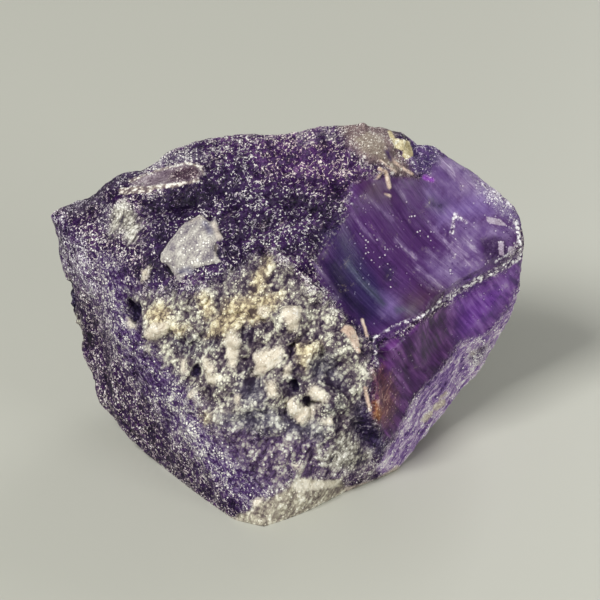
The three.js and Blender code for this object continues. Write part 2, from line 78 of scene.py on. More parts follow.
# The finishes, from the ground up, so that each covers those before it. An area is the corners of
# its outline in a view's frame, in pixels, and a stroke is its two ends in pixels and its half
# width in millimetres. "reach" is how far the edge wanders, in millimetres, and "ragged" and "soft"
# are how torn and how faded it is. "rough" is the roughness of the break, and "clear" the share of
# the light that goes on into the quartz. "shades" run from the pits, darkened with painted shade,
# over the ground to the sparks, which are pale grains and painted glints both.
FINISHES = [
    # The frosted breaks, with painted shade in their shadowed patches.
    {"name": "frost", "pattern": "sparks", "rough": 0.42, "clear": 0.1,
     "shades": "0c041a 321448 6c4676 dcccca fffdf8"},
    {"name": "low", "pattern": "crumbs", "reach": 1.8, "ragged": 0.9, "soft": 0.8,
     "rough": 0.45, "clear": 0.1, "shades": "281832 5c466c 8c7e88 bcb8ae f2f1e8",
     "front": [[(200, 412), (240, 408), (300, 425), (372, 440), (376, 470), (330, 484), (282, 488),
                (262, 505), (232, 470), (206, 430)]],
     "behind": [[(110, 400), (150, 420), (220, 430), (300, 456), (420, 450), (450, 460), (400, 490),
                 (300, 498), (220, 492), (150, 455)]],
     "right": [[(375, 430), (400, 410), (440, 440), (420, 475), (372, 482)]]},
    {"name": "bevel", "pattern": "combed", "reach": 1.5, "ragged": 0.9, "soft": 0.8,
     "rough": 0.5, "clear": 0.05, "shades": "150828 42245c 726084 b6b2b0 f4f2e8",
     "front": [[(96, 252), (125, 262), (150, 330), (168, 350), (190, 385), (206, 422), (238, 458),
                (272, 492), (248, 512), (214, 482), (174, 432), (140, 388), (114, 345), (98, 300)]]},
    {"name": "top", "pattern": "flecks", "reach": 1.2, "ragged": 0.7, "soft": 0.6,
     "rough": 0.45, "clear": 0.1, "shades": "0f071c 3a1e50 684678 aea8ae f3f2ea",
     "front": [[(196, 182), (206, 166), (250, 148), (290, 134), (330, 126), (350, 150), (376, 180),
                (350, 196), (344, 222), (318, 256), (300, 262), (262, 246), (240, 282), (205, 284),
                (150, 262), (146, 204)]],
     "behind": [[(250, 215), (330, 205), (420, 215), (425, 262), (400, 290), (330, 300), (270, 270)]]},
    {"name": "violet", "pattern": "flecks", "reach": 1.5, "ragged": 0.7, "soft": 1.0,
     "rough": 0.4, "clear": 0.15, "shades": "170624 44205a 7a4e84 c6aab2 fbf0e8",
     "front": [[(254, 138), (300, 127), (336, 130), (352, 152), (368, 176), (345, 200), (300, 186),
                (262, 176)]],
     "behind": [[(110, 270), (170, 235), (215, 215), (240, 250), (230, 300), (170, 305), (130, 310)],
                [(436, 280), (500, 286), (508, 340), (470, 368), (436, 352)]],
     "right": [[(376, 330), (400, 290), (414, 330), (404, 372), (384, 400), (374, 372)]],
     "left": [[(140, 270), (190, 262), (196, 330), (160, 350), (142, 320)]]},
    # Painted shade: dark patches under the ledge, beside and below the chip, in the notch of the left edge
    # and in a slot, and on the sides seen from behind and from the right.
    {"name": "dusk", "pattern": "flecks", "reach": 0.9, "ragged": 0.8, "soft": 0.7,
     "rough": 0.45, "clear": 0.1, "shades": "0e061a 2a1240 52366a 90809a ebe5de",
     "front": [[(142, 198), (205, 186), (246, 182), (240, 206), (206, 210), (180, 220), (166, 246),
                (158, 258), (142, 250), (152, 222), (166, 208), (142, 206)],
               [(216, 243), (232, 230), (250, 246), (242, 272), (220, 270)],
               [(142, 266), (162, 264), (178, 284), (205, 282), (212, 294), (178, 300), (146, 294)],
               [(64, 280), (74, 284), (80, 312), (76, 336), (66, 330)],
               [(244, 426), (264, 422), (272, 434), (258, 444)],
               [(126, 290), (136, 300), (142, 322), (134, 328), (126, 312)]],
     "behind": [[(425, 255), (445, 262), (440, 345), (424, 340)],
                [(262, 436), (300, 430), (380, 400), (420, 370), (470, 372), (440, 392), (380, 424),
                 (300, 452)]],
     "right": [[(410, 240), (430, 230), (440, 280), (424, 300)]]},
    # Painted shade in the dark band between the crust and the strip at the lower right.
    {"name": "gloom", "pattern": "crumbs", "reach": 0.9, "ragged": 0.8, "soft": 0.8,
     "rough": 0.45, "clear": 0.2, "shades": "0f0726 22123c 3a2656 665a7c c4bcc8",
     "front": [[(344, 400), (362, 396), (372, 420), (388, 440), (382, 462), (366, 446), (350, 428)]]},
    # The glassy shell of the right half, with its streaks and feathers, painted glints strewn over it, a
    # painted reflection, painted sheen at its upper right and painted shade in its hollows.
    {"name": "shell", "pattern": "streaks", "reach": 1.1, "ragged": 0.9, "soft": 0.25,
     "rough": 0.3, "clear": 0.4, "shades": "3a1a4c 50296a 643a7e 7a5494 ac92bc",
     "front": [[(352, 186), (364, 178), (400, 178), (428, 178), (436, 152), (462, 164), (488, 184),
                (516, 212), (520, 240), (505, 262), (470, 278), (440, 297), (402, 330), (378, 338),
                (352, 320), (322, 284), (318, 256), (335, 240), (344, 215)]],
     "behind": [[(128, 342), (142, 322), (168, 310), (208, 313), (234, 332), (248, 346), (257, 372),
                 (262, 400), (254, 418), (230, 408), (196, 410), (160, 400), (136, 384)]]},
    # The deep blue-violet of the shell's steep lower left, darkened with painted shade.
    {"name": "indigo", "pattern": "streaks", "reach": 1.6, "ragged": 0.4, "soft": 1.0,
     "rough": 0.35, "clear": 0.4, "shades": "1c0f3a 281750 3a2862 54467c 8880a6",
     "front": [[(330, 236), (346, 226), (366, 250), (398, 290), (398, 318), (366, 330), (330, 284)]],
     "behind": [[(200, 360), (240, 352), (256, 380), (248, 408), (214, 402)]]},
    # The lighter lavender of the shell's upper right: partly its own colour, partly painted sheen.
    {"name": "upper_shell", "pattern": "clouds", "reach": 2.0, "ragged": 0.7, "soft": 0.7,
     "rough": 0.35, "clear": 0.3, "shades": "5c3e76 7a5c9a 967eb0 b09cc6 dcd2e2",
     "front": [[(432, 152), (462, 162), (488, 182), (516, 210), (518, 222), (470, 208), (440, 196),
                (430, 176)],
               [(452, 226), (480, 220), (512, 228), (504, 240), (484, 240), (476, 262), (458, 252)],
               [(426, 262), (448, 256), (482, 262), (486, 274), (450, 288), (432, 282)]],
     "behind": [[(140, 332), (170, 316), (204, 322), (190, 340), (150, 346)]]},
    {"name": "feather", "pattern": "feathers", "reach": 0.4, "ragged": 0.8, "soft": 0.7,
     "rough": 0.35, "clear": 0.3, "shades": "6a4c80 8a6ea2 a890bc c2b0d0 e6dcea",
     "front_strokes": [((394, 186), (416, 212), 0.06), ((416, 212), (440, 236), 0.12),
                       ((440, 236), (462, 258), 0.16), ((462, 258), (478, 268), 0.12),
                       ((418, 268), (446, 290), 0.1), ((428, 250), (448, 270), 0.06),
                       ((396, 240), (416, 258), 0.06), ((440, 160), (466, 186), 0.3),
                       ((470, 184), (506, 206), 0.3), ((430, 205), (452, 226), 0.2),
                       ((352, 214), (376, 244), 0.04), ((366, 196), (392, 220), 0.05),
                       ((314, 264), (342, 296), 0.06), ((454, 230), (457, 246), 0.1),
                       ((457, 246), (467, 257), 0.1), ((466, 238), (479, 256), 0.14)],
     "behind_strokes": [((150, 350), (190, 372), 0.1), ((190, 372), (226, 398), 0.08),
                        ((170, 338), (210, 352), 0.08)]},
    # Painted glints: bright specks strewn over the shell.
    {"name": "dusted", "pattern": "dusted", "reach": 1.0, "ragged": 0.9, "soft": 0.6,
     "rough": 0.3, "clear": 0.4, "shades": "381a4c 4c2866 60387a 8a6a9c f6eef4",
     "front": [[(358, 236), (382, 240), (402, 276), (418, 306), (402, 314), (386, 292), (368, 262)],
               [(398, 196), (424, 214), (434, 246), (414, 238)]]},
    {"name": "frosted_edge", "pattern": "sparks", "reach": 0.8, "ragged": 0.8, "soft": 0.7,
     "rough": 0.45, "clear": 0.1, "shades": "54406c 84749a a89cb4 cec6d2 fbf8f8",
     "front": [[(474, 182), (498, 190), (516, 210), (518, 228), (500, 212), (484, 200)]]},
    {"name": "lavender", "pattern": "streaks", "reach": 1.2, "ragged": 0.6, "soft": 0.9,
     "rough": 0.3, "clear": 0.4, "shades": "6b4a98 8c6eb8 a68acc c0acdc e0d6ec",
     "front": [[(428, 192), (452, 206), (482, 196), (490, 212), (462, 216), (440, 224)],
               [(384, 297), (396, 301), (396, 314), (385, 312)]]},
    {"name": "spark", "pattern": "sparks", "reach": 0.2, "ragged": 0.5, "soft": 0.6,
     "rough": 0.3, "clear": 0.4, "shades": "8a3ab4 b25cda d080f0 e8b0fa fbe4ff",
     "front_strokes": [((425, 177), (432, 180), 0.22)]},
    # A painted reflection: the grey-blue streak that runs down the shell's lower left.
    {"name": "slate", "pattern": "streaks", "reach": 0.7, "ragged": 0.8, "soft": 0.5,
     "rough": 0.4, "clear": 0.3, "shades": "2a2246 3e4058 5c5e7c 8484a0 b0b0c0",
     "front_strokes": [((348, 264), (364, 284), 0.2), ((364, 284), (384, 304), 0.22),
                       ((398, 309), (416, 312), 0.25)]},
    # Painted shade in the hollows of the shell.
    {"name": "hollow", "pattern": "streaks", "reach": 1.0, "ragged": 0.6, "soft": 0.7,
     "rough": 0.4, "clear": 0.3, "shades": "120928 1c1036 2a1a48 40305c 6a6284",
     "front": [[(320, 262), (338, 258), (350, 288), (370, 314), (364, 324), (340, 300)],
               [(380, 262), (392, 268), (396, 284), (386, 280)],
               [(432, 198), (446, 204), (442, 212), (430, 206)]],
     "behind": [[(200, 334), (228, 336), (240, 350), (214, 352)]]},
    {"name": "blush", "pattern": "streaks", "reach": 1.4, "ragged": 0.4, "soft": 0.9,
     "rough": 0.35, "clear": 0.4, "shades": "34163c 4a264c 5c3a5c 745470 a08e94",
     "front": [[(362, 182), (382, 180), (388, 198), (368, 196)],
               [(404, 300), (420, 286), (442, 290), (424, 312), (408, 318)]]},
    # The lower right: a glassy face with a painted glow, the ribbed strip along its edge, and a rust stain.
    {"name": "face", "pattern": "veils", "reach": 0.9, "ragged": 0.6, "soft": 0.3,
     "rough": 0.3, "clear": 0.4, "shades": "280c38 461a5c 662f7c 8c53a2 b898c8",
     "front": [[(380, 345), (402, 336), (440, 310), (472, 292), (505, 272), (522, 258), (518, 282),
                (506, 308), (486, 334), (460, 342), (440, 368), (412, 396), (398, 432), (384, 440),
                (376, 400)]],
     "behind": [[(446, 292), (470, 282), (498, 300), (496, 340), (476, 362), (452, 350), (442, 320)]]},
    # A painted glow, as of light coming through the thin right edge of the face.
    {"name": "bright_face", "pattern": "veils", "reach": 1.4, "ragged": 0.4, "soft": 0.9,
     "rough": 0.3, "clear": 0.4, "shades": "4c1a80 7230a8 9452c8 b07cdc d4baec",
     "front": [[(455, 300), (482, 286), (518, 264), (514, 292), (500, 312), (480, 336), (458, 338)]],
     "behind": [[(460, 302), (488, 302), (486, 336), (466, 348)]]},
    {"name": "strip", "pattern": "ribbed", "reach": 0.8, "ragged": 0.6, "soft": 0.4,
     "rough": 0.45, "clear": 0.1, "shades": "34184e 7a589c b096be e0d4e0 fffcf8",
     "front": [[(508, 308), (520, 290), (512, 340), (492, 366), (462, 400), (440, 424), (406, 462),
                (384, 478), (376, 470), (386, 452), (398, 432), (412, 402), (428, 384), (446, 364),
                (460, 342), (488, 334)]],
     "behind": [[(300, 444), (380, 430), (420, 440), (440, 456), (380, 480), (320, 480)]]},
    {"name": "stain", "pattern": "ribbed", "reach": 0.9, "ragged": 0.7, "soft": 0.9,
     "rough": 0.4, "clear": 0.2, "shades": "281024 4a2238 6c3c4c 8e5c5e caa49c",
     "front": [[(374, 372), (384, 366), (394, 386), (396, 408), (386, 426), (376, 416)]]},
    {"name": "rust", "pattern": "ribbed", "reach": 0.4, "ragged": 0.8, "soft": 0.9,
     "rough": 0.5, "clear": 0.1, "shades": "44201c 7a4426 9c603a b88458 dcc0a0",
     "front_strokes": [((376, 404), (378, 417), 0.25)]},
    # The crumbly crust of the front, with its gaps, its cream and its pale lumps.
    {"name": "crust", "pattern": "crumbs", "reach": 1.4, "ragged": 0.8, "soft": 0.6,
     "rough": 0.75, "clear": 0.0, "shades": "2e2236 665a62 98938a c9c6b2 f2f0de",
     "front": [[(136, 300), (168, 296), (215, 288), (256, 258), (276, 262), (312, 290), (340, 318),
                (366, 345), (366, 385), (345, 440), (312, 436), (262, 420), (214, 410), (178, 376),
                (148, 344)]],
     "behind": [[(380, 384), (420, 372), (470, 380), (484, 400), (450, 440), (400, 452), (366, 430)]],
     "left": [[(205, 400), (232, 408), (256, 430), (250, 452), (214, 440)]]},
    {"name": "gaps", "pattern": "crumbs", "reach": 0.8, "ragged": 1.0, "soft": 0.7,
     "rough": 0.6, "clear": 0.0, "shades": "1e1428 44384c 706c6e a09e94 e2e2d4",
     "front": [[(165, 336), (200, 334), (204, 350), (196, 360), (176, 352)],
               [(280, 380), (300, 376), (304, 392), (286, 396)],
               [(322, 352), (336, 354), (334, 364), (324, 362)],
               [(320, 408), (340, 396), (350, 410), (330, 416)],
               [(206, 336), (218, 332), (216, 352), (206, 350)],
               [(240, 364), (252, 368), (262, 380), (246, 378)],
               [(322, 384), (344, 372), (352, 392), (334, 398)],
               [(240, 330), (256, 324), (254, 342), (244, 346)]]},
    {"name": "cream", "pattern": "crumbs", "reach": 0.7, "ragged": 1.0, "soft": 0.8,
     "rough": 0.8, "clear": 0.0, "shades": "5a4c48 a4957c cebf9c eadfb8 fdf8e0",
     "front": [[(208, 336), (216, 318), (226, 300), (250, 297), (284, 292), (264, 320), (244, 324),
                (228, 336)],
               [(250, 298), (254, 276), (268, 258), (272, 266), (262, 296)],
               [(148, 312), (160, 302), (170, 312), (168, 330), (152, 334)],
               [(296, 344), (320, 344), (312, 356), (306, 370), (300, 366)],
               [(196, 294), (206, 294), (216, 312), (206, 318)],
               [(200, 412), (240, 408), (244, 416), (204, 422)],
               [(170, 324), (188, 326), (182, 334), (172, 332)]],
     "behind": [[(400, 396), (424, 388), (440, 398), (420, 412), (404, 410)],
                [(446, 404), (462, 400), (452, 424), (440, 428)]]},
    {"name": "haze", "pattern": "crumbs", "reach": 1.0, "ragged": 0.8, "soft": 0.9,
     "rough": 0.75, "clear": 0.0, "shades": "3c3648 686470 928e90 bab8b0 e8e8de",
     "front": [[(240, 380), (262, 378), (266, 400), (250, 408), (238, 402)],
               [(310, 362), (332, 358), (334, 376), (314, 380)],
               [(208, 410), (262, 404), (300, 420), (334, 424), (322, 440), (262, 430), (216, 424)]]},
    {"name": "blobs", "pattern": "mottled", "reach": 0.5, "ragged": 1.1, "soft": 0.6,
     "rough": 0.7, "clear": 0.0, "shades": "9c8e80 ccbfaa e6dcc8 f4eede fdfaf2",
     "front": [[(281, 309), (288, 306), (301, 309), (300, 320), (297, 330), (290, 332), (284, 320)],
               [(226, 334), (234, 330), (239, 340), (238, 356), (234, 368), (229, 366), (226, 350)],
               [(252, 376), (256, 366), (254, 354), (264, 350), (272, 350), (280, 344), (284, 352),
                (279, 362), (270, 368), (260, 376)],
               [(266, 381), (275, 381), (277, 397), (269, 397)],
               [(306, 389), (313, 386), (320, 390), (329, 396), (326, 402), (316, 401), (308, 396)],
               [(287, 400), (294, 398), (298, 406), (312, 406), (320, 405), (313, 414), (303, 424),
                (296, 421), (290, 412)],
               [(284, 366), (291, 366), (288, 375), (283, 377)],
               [(205, 358), (212, 362), (216, 372), (218, 380), (212, 386), (207, 380), (206, 370)],
               [(146, 332), (156, 324), (168, 322), (166, 330), (156, 338), (148, 340)],
               [(127, 318), (134, 322), (137, 330), (130, 328)],
               [(181, 360), (187, 362), (187, 374), (182, 372)],
               [(188, 393), (195, 392), (194, 398), (189, 398)],
               [(236, 395), (241, 396), (240, 404), (235, 402)],
               [(258, 306), (268, 306), (266, 315), (258, 313)],
               [(142, 270), (149, 268), (148, 280), (143, 282)],
               [(322, 419), (332, 418), (333, 423), (325, 425)],
               [(292, 464), (300, 464), (299, 470), (293, 470)],
               [(252, 500), (261, 499), (262, 506), (255, 507)]],
     "behind": [[(410, 418), (420, 414), (426, 424), (416, 430)],
                [(392, 404), (398, 402), (400, 412), (394, 414)]]},
    # The pale patches, the ledges at the top left with their rims, and the pale chip. A painted
    # highlight lies on the edges of the chip and of the terrace, and painted shade in the chip's dents.
    {"name": "patch", "pattern": "crumbs", "reach": 0.9, "ragged": 0.9, "soft": 0.6,
     "rough": 0.7, "clear": 0.0, "shades": "3a3242 7a746e b0aca0 d8d4c8 f8f6ee",
     "front": [[(108, 208), (124, 202), (134, 210), (140, 226), (136, 242), (128, 244), (122, 230),
                (108, 236)],
               [(334, 446), (346, 432), (356, 442), (368, 452), (370, 464), (352, 472), (330, 468),
                (318, 458)]],
     "behind": [[(210, 432), (250, 440), (290, 448), (270, 470), (226, 462)]],
     "right": [[(404, 400), (430, 395), (440, 430), (412, 440)]]},
    {"name": "slope", "pattern": "sparks", "reach": 0.8, "ragged": 0.7, "soft": 0.7,
     "rough": 0.5, "clear": 0.1, "shades": "20142e 50405e 82768a ccc6c8 fdfaf4",
     "front": [[(104, 184), (118, 172), (140, 162), (168, 152), (200, 150), (210, 160), (190, 163),
                (156, 171), (130, 180), (112, 192)],
               [(100, 196), (110, 206), (108, 232), (98, 224)]],
     "behind": [[(230, 184), (262, 186), (300, 196), (290, 212), (250, 206)]]},
    {"name": "terrace", "pattern": "sparks", "reach": 0.8, "ragged": 0.7, "soft": 0.6,
     "rough": 0.6, "clear": 0.0, "shades": "241a30 564a5c 83798a b4acb4 f0ecec",
     "front": [[(62, 214), (72, 190), (90, 182), (106, 180), (104, 194), (90, 206), (78, 216)]]},
    {"name": "ledge", "pattern": "mottled", "reach": 0.5, "ragged": 0.5, "soft": 0.4,
     "rough": 0.55, "clear": 0.0, "shades": "2e2032 5e4c5c 8a7a84 b6aaae e8e2de",
     "front": [[(130, 184), (142, 176), (158, 170), (178, 164), (192, 163), (203, 172), (198, 180),
                (182, 184), (150, 188)]]},
    {"name": "ledge_dark", "pattern": "sparks", "reach": 0.4, "ragged": 0.8, "soft": 0.8,
     "rough": 0.5, "clear": 0.0, "shades": "301e30 543c4c 7e6672 b8a6a6 f6ece6",
     "front": [[(170, 172), (182, 167), (194, 165), (201, 172), (196, 179), (180, 182), (168, 180)]]},
    {"name": "lens_rim", "pattern": "beads", "reach": 0.2, "ragged": 0.7, "soft": 0.4,
     "rough": 0.6, "clear": 0.0, "shades": "6a5a60 a89a90 d2c8ba f0e8dc fffdf4",
     "front_strokes": [((122, 191), (150, 189), 0.28), ((150, 188), (176, 185), 0.18),
                       ((176, 185), (198, 180), 0.13), ((130, 181), (156, 171), 0.09),
                       ((156, 171), (186, 163), 0.09), ((186, 163), (202, 167), 0.1),
                       ((200, 167), (204, 175), 0.07)]},
    # The pale rims along the edges. The short stroke at the top left is a painted highlight on the
    # terrace's edge.
    {"name": "rim", "pattern": "mottled", "reach": 0.25, "ragged": 0.8, "soft": 0.5,
     "rough": 0.7, "clear": 0.0, "shades": "6a5860 a2948c c8bcae e4dccc fcf8ee",
     "front_strokes": [((208, 513), (234, 519), 0.12), ((234, 519), (264, 523), 0.15),
                       ((345, 490), (374, 483), 0.2), ((374, 483), (398, 468), 0.2),
                       ((472, 354), (486, 348), 0.15),
                       ((436, 408), (443, 402), 0.25), ((424, 420), (431, 413), 0.2),
                       ((440, 398), (446, 393), 0.12), ((72, 189), (78, 185), 0.12)],
     "behind_strokes": [((142, 321), (168, 309), 0.15), ((168, 309), (208, 312), 0.12),
                        ((208, 312), (243, 338), 0.18), ((256, 424), (284, 436), 0.2)]},
    {"name": "chip", "pattern": "mottled", "reach": 0.5, "ragged": 0.3, "soft": 0.08,
     "rough": 0.5, "clear": 0.0, "shades": "3c3444 807880 b2aca6 dcd8ce fffdf6",
     "front": [[(161, 262), (161, 254), (166, 247), (172, 238), (178, 231), (185, 223), (192, 221),
                (200, 215), (203, 218), (212, 224), (214, 215), (217, 223), (219, 232), (223, 238),
                (215, 243), (214, 250), (218, 258), (222, 262), (203, 266), (192, 270), (184, 279),
                (179, 284), (174, 274), (168, 264)]]},
    # The chip's pale edges: cream at the top right, with a painted highlight along the top left edge.
    {"name": "chip_edge", "pattern": "mottled", "reach": 0.3, "ragged": 0.6, "soft": 0.7,
     "rough": 0.6, "clear": 0.0, "shades": "a0928c c6baae dcd2c6 ece4d8 fffcf4",
     "front_strokes": [((190, 223), (202, 218), 0.1), ((214, 226), (219, 238), 0.22),
                       ((216, 246), (216, 258), 0.12)]},
    # Painted shade in the dents of the chip.
    {"name": "chip_dent", "pattern": "mottled", "reach": 0.4, "ragged": 0.7, "soft": 0.7,
     "rough": 0.6, "clear": 0.0, "shades": "3c3850 5c5870 7e7a8c a8a4ae dcd8da",
     "front_strokes": [((182, 272), (189, 270), 0.3), ((205, 226), (210, 234), 0.2)]},
    # The knob at the top and the hood beside it, the yellow crumbs, the curls, the pocket and the blades.
    {"name": "knob", "pattern": "sparks", "reach": 0.8, "ragged": 0.8, "soft": 0.7,
     "rough": 0.55, "clear": 0.1, "shades": "5e4a50 94807e b4a29e dcd2ca fdf8f0",
     "front": [[(338, 124), (345, 116), (362, 111), (386, 118), (394, 130), (396, 148), (406, 164),
                (414, 176), (398, 175), (384, 166), (362, 158), (348, 146)]]},
    {"name": "taupe", "pattern": "sparks", "reach": 0.4, "ragged": 0.9, "soft": 0.7,
     "rough": 0.5, "clear": 0.1, "shades": "7a6a62 988a7e a89c8e bcb2a4 f0e8dc",
     "front": [[(354, 138), (368, 133), (382, 137), (388, 150), (400, 170), (392, 170), (378, 158),
                (362, 150)]]},
    {"name": "hood", "pattern": "sparks", "reach": 0.7, "ragged": 0.8, "soft": 0.6,
     "rough": 0.42, "clear": 0.1, "shades": "3a2858 664c80 8e7ca2 ccc2d2 fbf8fa",
     "front": [[(406, 152), (412, 138), (440, 140), (440, 160), (428, 174), (412, 172)]]},
    {"name": "crumbs", "pattern": "crumbs", "reach": 0.18, "ragged": 0.6, "soft": 0.4,
     "rough": 0.7, "clear": 0.0, "shades": "b8a880 d4c69c e8dcb6 f6efd2 fffdf0",
     "front": [[(392, 136), (398, 139), (410, 141), (410, 148), (402, 151), (395, 148)],
               [(403, 149), (412, 147), (413, 156), (406, 160), (402, 156)]],
     "front_strokes": [((390, 132), (395, 144), 0.18)]},
    {"name": "tongue", "pattern": "mottled", "reach": 0.2, "ragged": 0.4, "soft": 0.5,
     "rough": 0.5, "clear": 0.0, "shades": "a08478 c8ac98 dec6b2 efdfce fcf6ea",
     "front": [[(341, 330), (345, 325), (352, 327), (358, 338), (361, 352), (357, 353), (351, 342),
                (345, 337)]],
     "front_strokes": [((362, 320), (367, 336), 0.12), ((365, 388), (370, 410), 0.14),
                       ((379, 169), (386, 172), 0.14), ((386, 172), (389, 187), 0.17),
                       ((376, 179), (381, 173), 0.08), ((385, 194), (390, 196), 0.1),
                       ((386, 148), (394, 162), 0.06), ((394, 162), (412, 174), 0.09),
                       ((380, 160), (396, 172), 0.06)]},
    {"name": "pocket", "pattern": "mottled", "reach": 0.5, "ragged": 0.7, "soft": 0.5,
     "rough": 0.4, "clear": 0.2, "shades": "241638 382248 4c3460 6a5676 aa9aae",
     "front": [[(480, 240), (494, 236), (506, 240), (510, 258), (500, 268), (486, 264)],
               [(384, 150), (389, 148), (393, 161), (387, 159)]]},
    {"name": "blades", "pattern": "mottled", "reach": 0.15, "ragged": 0.3, "soft": 0.3,
     "rough": 0.45, "clear": 0.1, "shades": "7a6688 968498 b4a6b8 ccc2ce ece6ea",
     "front": [[(486, 216), (500, 219), (508, 226), (496, 225), (487, 222)],
               [(498, 241), (504, 241), (504, 256), (499, 255)],
               [(508, 246), (515, 247), (512, 255), (508, 252)]]},
    # The pale foot, the beads along the ridges with their painted highlight, the sugary edges and the
    # dark pits with their painted shade.
    {"name": "lip", "pattern": "crumbs", "reach": 0.5, "ragged": 0.6, "soft": 0.5,
     "rough": 0.45, "clear": 0.1, "shades": "5e5052 9c9284 beb6a2 e4dec8 fdfaec",
     "front": [[(236, 516), (252, 510), (270, 498), (286, 490), (298, 478), (320, 480), (342, 479),
                (346, 494), (320, 506), (300, 516), (266, 528), (240, 526)]]},
    {"name": "lip_top", "pattern": "mottled", "reach": 0.3, "ragged": 0.5, "soft": 0.5,
     "rough": 0.45, "clear": 0.1, "shades": "a09484 c8bea8 e2dac6 f2ecdc fdfaf0",
     "front": [[(292, 484), (298, 479), (320, 481), (341, 480), (334, 487), (312, 490), (296, 492)]]},
    # Pale crumbs along the ridges, with painted highlight on their crests.
    {"name": "beads", "pattern": "beads", "reach": 0.3, "ragged": 0.8, "soft": 0.4,
     "rough": 0.4, "clear": 0.0, "shades": "443058 8e7e98 dcd4d8 faf6f2 ffffff",
     "front_strokes": [((374, 338), (396, 325), 0.1), ((396, 325), (425, 315), 0.11),
                       ((425, 315), (440, 303), 0.14), ((440, 303), (476, 281), 0.17),
                       ((476, 281), (505, 266), 0.22), ((505, 266), (521, 256), 0.22),
                       ((455, 214), (452, 232), 0.14), ((455, 214), (466, 222), 0.1),
                       ((516, 220), (521, 250), 0.14), ((374, 342), (377, 366), 0.12),
                       ((470, 175), (512, 206), 0.06), ((344, 199), (352, 204), 0.06),
                       ((494, 262), (516, 250), 0.06)],
     "behind_strokes": [((243, 338), (262, 356), 0.15), ((430, 262), (426, 300), 0.12)]},
    {"name": "sugar", "pattern": "sparks", "reach": 0.7, "ragged": 0.8, "soft": 0.6,
     "rough": 0.42, "clear": 0.1, "shades": "180b2c 4e3262 9686a0 dcd6da fffcfa",
     "front": [[(36, 212), (62, 214), (84, 240), (100, 290), (92, 300), (70, 276), (58, 262)],
               [(468, 358), (478, 346), (490, 344), (486, 356), (474, 364)]],
     "behind": [[(300, 300), (350, 300), (420, 290), (424, 330), (380, 345), (320, 340)]],
     "left": [[(180, 420), (220, 440), (230, 470), (190, 470), (165, 440)]]},
    # Painted shade in the pits and in the notch of the left edge, and painted shadow beside the chip's
    # right edge.
    {"name": "pits", "pattern": "sparks", "reach": 0.35, "ragged": 0.9, "soft": 0.5,
     "rough": 0.6, "clear": 0.0, "shades": "120a22 1f1334 33244c 564a68 8c849a",
     "front": [[(191, 376), (193, 367), (198, 364), (199, 370), (196, 377)],
               [(303, 402), (305, 397), (309, 397), (310, 401), (314, 403), (309, 406)],
               [(129, 300), (134, 305), (138, 301), (140, 308), (137, 322), (133, 322), (130, 310)],
               [(290, 381), (297, 380), (299, 388), (294, 391)],
               [(215, 245), (219, 248), (221, 258), (217, 257)]],
     "front_strokes": [((68, 284), (72, 306), 0.25), ((70, 306), (72, 318), 0.3)]},
]
STOPS = (0.12, 0.38, 0.54, 0.7, 0.9)  # how bright a pattern is where each of the five shades lies
TEAR_MIDDLE = 0.7  # the middle value of the grain that tears the edges of the finishes

# Where the blow fell that broke out the glassy shell. The ripples of the shell are arcs round it.
BLOW = Vector((38, 26, 35)) * MM
# The fine and the coarse ripples: their length and their distance in millimetres, and their detail.
RIPPLES = ((5.0, 0.24, 5.0), (4.0, 0.5, 1.0))

# Which way a grain runs, as two places in the front frame, in pixels: the lean of the crust, the
# combing of the left bevel and the ribs of the strip at the lower right edge.
CRUST_LEANS = ((212, 385), (262, 300))
BEVEL_RUNS = ((145, 340), (190, 400))
STRIP_RUNS = ((405, 455), (490, 345))
CRUST_STRETCH = (1.9, 0.9, 0.9)  # the crust's lumps are longer along its lean

# The sizes of the material's patterns. A real break goes on finer than the picture can show, so its
# grain and its crystal points are drawn as coarse as they need to be to show.
CLOUD = 5 * MM
MOTTLE = 1.3 * MM
NODULE = 0.38 * MM
POINT = 0.23 * MM
GRAIN = 0.16 * MM
# The flecks, short and long: their size in millimetres, and how dense the points are where they show.
FLECKS = ((0.27, 0.42), (0.36, 0.56))

# The finer copy of the stone.
MERGED = 0.001 * MM  # corners closer than this are one
SHARP_FOLD = math.radians(38)  # a fold sharper than this keeps its edge
CREASE = 0.7  # how much of the edge it keeps
REFINED = 2  # times that each face is cut in four, which keeps the piece under 200,000 triangles
FLAT_FOOT = 0.15 * MM  # below this the resting face is left flat
FOOT_RISE = 1.2 * MM  # over this the grain comes to its full height
WEIGHT_STEPS = 16  # between no grain and all of its height
GROUND_SMOOTHING = 24  # steps that smooth the grain away and leave the ground under it
RELIEF = 0.6 * MM  # from the deepest pits to the highest crests


def linear(hex_colour):
    """The linear colour of an sRGB hex value such as "8a6fb0"."""
    channels = [int(hex_colour[i:i + 2], 16) / 255 for i in (0, 2, 4)]
    lit = [c / 12.92 if c <= 0.04045 else ((c + 0.055) / 1.055) ** 2.4 for c in channels]
    return (*lit, 1)


def deselect():
    bpy.ops.object.select_all(action="DESELECT")


def active(thing):
    deselect()
    thing.select_set(True)
    bpy.context.view_layer.objects.active = thing


def apply_modifiers(thing):
    active(thing)
    for modifier in list(thing.modifiers):
        bpy.ops.object.modifier_apply(modifier=modifier.name)


def copy_of(thing):
    """A copy with its own mesh."""
    deselect()
    copy = thing.copy()
    copy.data = thing.data.copy()
    bpy.context.collection.objects.link(copy)
    return copy


def point_values(thing, kind):
    """The places ("co") or the normals ("normal") of an object's points."""
    values = np.empty(len(thing.data.vertices) * 3)
    thing.data.vertices.foreach_get(kind, values)
    return values.reshape(-1, 3)


def mark(stone, name, values):
    """Keeps a value for each point, for the material to read."""
    layer = stone.data.attributes.new(name, "FLOAT", "POINT")
    layer.data.foreach_set("value", values)


